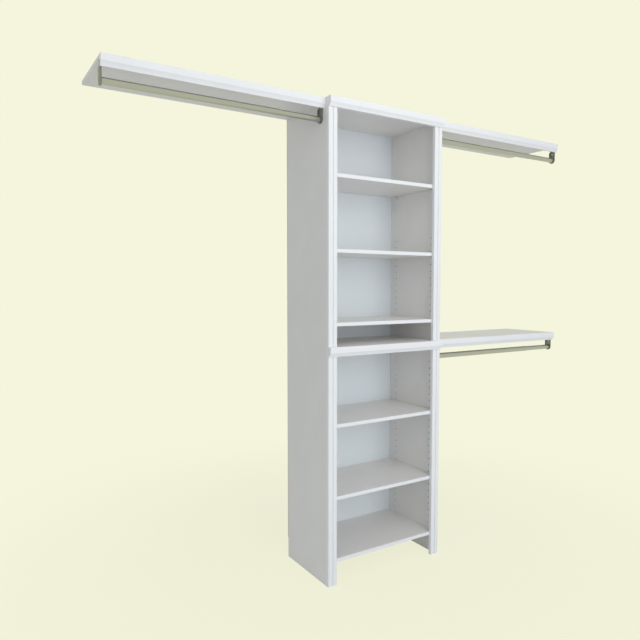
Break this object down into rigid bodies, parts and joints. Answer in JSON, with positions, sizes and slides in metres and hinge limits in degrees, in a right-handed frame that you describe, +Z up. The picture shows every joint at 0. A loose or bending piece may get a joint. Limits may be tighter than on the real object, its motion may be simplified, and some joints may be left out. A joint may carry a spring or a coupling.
{
  "type": "wall mounted closet system",
  "caption": "Open shelf tower of stacked units, coved mouldings and fluted stiles, with side shelves and telescoping hang rods in open cup brackets.",
  "frame": {"origin": "on the floor, at the middle of the system's width and depth", "axes": "+X to the right along the wall, +Y into the wall, +Z up"},
  "size_m": [2.434, 0.376, 2.12],
  "materials": {
    "white_laminate_board": "white melamine laminate, low sheen",
    "white_painted_moulding": "white foil on fibreboard, satin",
    "white_hardboard": "white lacquered hardboard",
    "satin_nickel_tube": "satin nickel plated steel tube",
    "dark_nickel_bracket": "satin nickel plated zinc casting",
    "zinc_plated_steel": "bright zinc plate",
    "beech_dowel": "bare beech"
  },
  "bodies": {
    "tower_and_side_shelves": {"lower_left_side_panel": "white_laminate_board", "lower_right_side_panel": "white_laminate_board", "upper_left_side_panel": "white_laminate_board", "upper_right_side_panel": "white_laminate_board", "bottom_shelf": "white_laminate_board", "middle_deck": "white_laminate_board", "upper_bottom_shelf": "white_laminate_board", "top_panel": "white_laminate_board", "left_top_shelf": "white_laminate_board", "right_top_shelf": "white_laminate_board", "right_middle_shelf": "white_laminate_board", "lower_left_stile": "white_painted_moulding", "lower_right_stile": "white_painted_moulding", "upper_left_stile": "white_painted_moulding", "upper_right_stile": "white_painted_moulding", "middle_moulding": "white_painted_moulding", "top_moulding": "white_painted_moulding", "left_top_shelf_moulding": "white_painted_moulding", "right_top_shelf_moulding": "white_painted_moulding", "right_middle_shelf_moulding": "white_painted_moulding", "lower_back_panel": "white_hardboard", "upper_back_panel": "white_hardboard", "left_top_rod_brackets": "dark_nickel_bracket", "right_top_rod_brackets": "dark_nickel_bracket", "right_middle_rod_brackets": "dark_nickel_bracket", "lower_unit_low_shelf_supports": "zinc_plated_steel", "lower_unit_high_shelf_supports": "zinc_plated_steel", "upper_unit_low_shelf_supports": "zinc_plated_steel", "upper_unit_high_shelf_supports": "zinc_plated_steel", "wall_angles": "zinc_plated_steel", "cam_locks": "zinc_plated_steel", "cam_bolts": "zinc_plated_steel", "bracket_screws": "zinc_plated_steel", "angle_screws": "zinc_plated_steel", "unit_dowels": "beech_dowel", "shelf_dowels": "beech_dowel"},
    "lower_unit_low_shelf_body": {"lower_unit_low_shelf": "white_laminate_board"},
    "lower_unit_high_shelf_body": {"lower_unit_high_shelf": "white_laminate_board"},
    "upper_unit_low_shelf_body": {"upper_unit_low_shelf": "white_laminate_board"},
    "upper_unit_high_shelf_body": {"upper_unit_high_shelf": "white_laminate_board"},
    "left_top_rod_outer": {"left_top_rod_outer_tube": "satin_nickel_tube"},
    "left_top_rod_inner": {"left_top_rod_inner_tube": "satin_nickel_tube", "left_top_rod_end_cap": "satin_nickel_tube"},
    "right_top_rod_outer": {"right_top_rod_outer_tube": "satin_nickel_tube"},
    "right_top_rod_inner": {"right_top_rod_inner_tube": "satin_nickel_tube", "right_top_rod_end_cap": "satin_nickel_tube"},
    "right_middle_rod_outer": {"right_middle_rod_outer_tube": "satin_nickel_tube"},
    "right_middle_rod_inner": {"right_middle_rod_inner_tube": "satin_nickel_tube", "right_middle_rod_end_cap": "satin_nickel_tube"}
  },
  "joints": [
    {"name": "lower_unit_low_shelf_lift", "type": "slide", "parent": "tower_and_side_shelves", "child": "lower_unit_low_shelf_body", "axis": [0, 0, 1], "range_m": [0, 0.25]},
    {"name": "lower_unit_high_shelf_lift", "type": "slide", "parent": "tower_and_side_shelves", "child": "lower_unit_high_shelf_body", "axis": [0, 0, 1], "range_m": [0, 0.25]},
    {"name": "upper_unit_low_shelf_lift", "type": "slide", "parent": "tower_and_side_shelves", "child": "upper_unit_low_shelf_body", "axis": [0, 0, 1], "range_m": [0, 0.25]},
    {"name": "upper_unit_high_shelf_lift", "type": "slide", "parent": "tower_and_side_shelves", "child": "upper_unit_high_shelf_body", "axis": [0, 0, 1], "range_m": [0, 0.25]},
    {"name": "left_top_rod_lift", "type": "slide", "parent": "tower_and_side_shelves", "child": "left_top_rod_outer", "axis": [0, 0, 1], "range_m": [0, 0.03]},
    {"name": "left_top_rod_telescope", "type": "slide", "parent": "left_top_rod_outer", "child": "left_top_rod_inner", "axis": [1, 0, 0], "range_m": [-0.18, 0]},
    {"name": "right_top_rod_lift", "type": "slide", "parent": "tower_and_side_shelves", "child": "right_top_rod_outer", "axis": [0, 0, 1], "range_m": [0, 0.03]},
    {"name": "right_top_rod_telescope", "type": "slide", "parent": "right_top_rod_outer", "child": "right_top_rod_inner", "axis": [1, 0, 0], "range_m": [-0.18, 0]},
    {"name": "right_middle_rod_lift", "type": "slide", "parent": "tower_and_side_shelves", "child": "right_middle_rod_outer", "axis": [0, 0, 1], "range_m": [0, 0.03]},
    {"name": "right_middle_rod_telescope", "type": "slide", "parent": "right_middle_rod_outer", "child": "right_middle_rod_inner", "axis": [1, 0, 0], "range_m": [-0.18, 0]}
  ]
}
